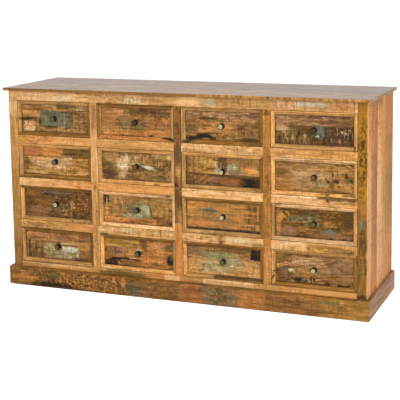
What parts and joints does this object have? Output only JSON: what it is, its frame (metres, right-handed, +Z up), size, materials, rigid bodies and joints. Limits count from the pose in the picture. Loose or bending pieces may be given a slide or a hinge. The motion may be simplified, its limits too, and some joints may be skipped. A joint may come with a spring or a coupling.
{
  "type": "sideboard",
  "caption": "Wooden sideboard with a grid of inset drawers in a face frame, round metal knobs, a thin overhanging top and a plinth.",
  "frame": {"origin": "on the floor, in the middle of the width and of the depth from plinth front to back", "axes": "+X to the sideboard's right as seen from its front, +Y to its back, +Z up; the drawers face -Y"},
  "size_m": [1.8, 0.525, 0.966],
  "materials": {
    "lacquered_top": "satin",
    "side_planks": "satin",
    "face_frame": "satin",
    "drawer_fronts": "satin",
    "plinth": "satin",
    "drawer_boxes": "satin",
    "inner_wood": "satin",
    "back_wood": "satin",
    "knob_metal": "antique"
  },
  "bodies": {
    "carcass": {"top_planks": "lacquered_top", "side_planks_left": "side_planks", "side_planks_right": "side_planks", "face_frame_stiles": "face_frame", "face_frame_rails": "face_frame", "partitions": "inner_wood", "drawer_runners": "inner_wood", "bottom_board": "inner_wood", "back_frame": "back_wood", "back_panels": "back_wood", "plinth_boards": "plinth", "plinth_bearers": "inner_wood"},
    "drawer_r1c1": {"drawer_r1c1_front": "drawer_fronts", "drawer_r1c1_box": "drawer_boxes", "drawer_r1c1_knob": "knob_metal"},
    "drawer_r1c2": {"drawer_r1c2_front": "drawer_fronts", "drawer_r1c2_box": "drawer_boxes", "drawer_r1c2_knob": "knob_metal"},
    "drawer_r1c3": {"drawer_r1c3_front": "drawer_fronts", "drawer_r1c3_box": "drawer_boxes", "drawer_r1c3_knob": "knob_metal"},
    "drawer_r1c4": {"drawer_r1c4_front": "drawer_fronts", "drawer_r1c4_box": "drawer_boxes", "drawer_r1c4_knob": "knob_metal"},
    "drawer_r2c1": {"drawer_r2c1_front": "drawer_fronts", "drawer_r2c1_box": "drawer_boxes", "drawer_r2c1_knob": "knob_metal"},
    "drawer_r2c2": {"drawer_r2c2_front": "drawer_fronts", "drawer_r2c2_box": "drawer_boxes", "drawer_r2c2_knob": "knob_metal"},
    "drawer_r2c3": {"drawer_r2c3_front": "drawer_fronts", "drawer_r2c3_box": "drawer_boxes", "drawer_r2c3_knob": "knob_metal"},
    "drawer_r2c4": {"drawer_r2c4_front": "drawer_fronts", "drawer_r2c4_box": "drawer_boxes", "drawer_r2c4_knob": "knob_metal"},
    "drawer_r3c1": {"drawer_r3c1_front": "drawer_fronts", "drawer_r3c1_box": "drawer_boxes", "drawer_r3c1_knob": "knob_metal"},
    "drawer_r3c2": {"drawer_r3c2_front": "drawer_fronts", "drawer_r3c2_box": "drawer_boxes", "drawer_r3c2_knob": "knob_metal"},
    "drawer_r3c3": {"drawer_r3c3_front": "drawer_fronts", "drawer_r3c3_box": "drawer_boxes", "drawer_r3c3_knob": "knob_metal"},
    "drawer_r3c4": {"drawer_r3c4_front": "drawer_fronts", "drawer_r3c4_box": "drawer_boxes", "drawer_r3c4_knob": "knob_metal"},
    "drawer_r4c1": {"drawer_r4c1_front": "drawer_fronts", "drawer_r4c1_box": "drawer_boxes", "drawer_r4c1_knob": "knob_metal"},
    "drawer_r4c2": {"drawer_r4c2_front": "drawer_fronts", "drawer_r4c2_box": "drawer_boxes", "drawer_r4c2_knob": "knob_metal"},
    "drawer_r4c3": {"drawer_r4c3_front": "drawer_fronts", "drawer_r4c3_box": "drawer_boxes", "drawer_r4c3_knob": "knob_metal"},
    "drawer_r4c4": {"drawer_r4c4_front": "drawer_fronts", "drawer_r4c4_box": "drawer_boxes", "drawer_r4c4_knob": "knob_metal"}
  },
  "joints": [
    {"name": "drawer_r1c1_slide", "type": "slide", "parent": "carcass", "child": "drawer_r1c1", "axis": [0, -1, 0], "range_m": [0, 0.3]},
    {"name": "drawer_r1c2_slide", "type": "slide", "parent": "carcass", "child": "drawer_r1c2", "axis": [0, -1, 0], "range_m": [0, 0.3]},
    {"name": "drawer_r1c3_slide", "type": "slide", "parent": "carcass", "child": "drawer_r1c3", "axis": [0, -1, 0], "range_m": [0, 0.3]},
    {"name": "drawer_r1c4_slide", "type": "slide", "parent": "carcass", "child": "drawer_r1c4", "axis": [0, -1, 0], "range_m": [0, 0.3]},
    {"name": "drawer_r2c1_slide", "type": "slide", "parent": "carcass", "child": "drawer_r2c1", "axis": [0, -1, 0], "range_m": [0, 0.3]},
    {"name": "drawer_r2c2_slide", "type": "slide", "parent": "carcass", "child": "drawer_r2c2", "axis": [0, -1, 0], "range_m": [0, 0.3]},
    {"name": "drawer_r2c3_slide", "type": "slide", "parent": "carcass", "child": "drawer_r2c3", "axis": [0, -1, 0], "range_m": [0, 0.3]},
    {"name": "drawer_r2c4_slide", "type": "slide", "parent": "carcass", "child": "drawer_r2c4", "axis": [0, -1, 0], "range_m": [0, 0.3]},
    {"name": "drawer_r3c1_slide", "type": "slide", "parent": "carcass", "child": "drawer_r3c1", "axis": [0, -1, 0], "range_m": [0, 0.3]},
    {"name": "drawer_r3c2_slide", "type": "slide", "parent": "carcass", "child": "drawer_r3c2", "axis": [0, -1, 0], "range_m": [0, 0.3]},
    {"name": "drawer_r3c3_slide", "type": "slide", "parent": "carcass", "child": "drawer_r3c3", "axis": [0, -1, 0], "range_m": [0, 0.3]},
    {"name": "drawer_r3c4_slide", "type": "slide", "parent": "carcass", "child": "drawer_r3c4", "axis": [0, -1, 0], "range_m": [0, 0.3]},
    {"name": "drawer_r4c1_slide", "type": "slide", "parent": "carcass", "child": "drawer_r4c1", "axis": [0, -1, 0], "range_m": [0, 0.3]},
    {"name": "drawer_r4c2_slide", "type": "slide", "parent": "carcass", "child": "drawer_r4c2", "axis": [0, -1, 0], "range_m": [0, 0.3]},
    {"name": "drawer_r4c3_slide", "type": "slide", "parent": "carcass", "child": "drawer_r4c3", "axis": [0, -1, 0], "range_m": [0, 0.3]},
    {"name": "drawer_r4c4_slide", "type": "slide", "parent": "carcass", "child": "drawer_r4c4", "axis": [0, -1, 0], "range_m": [0, 0.3]}
  ]
}
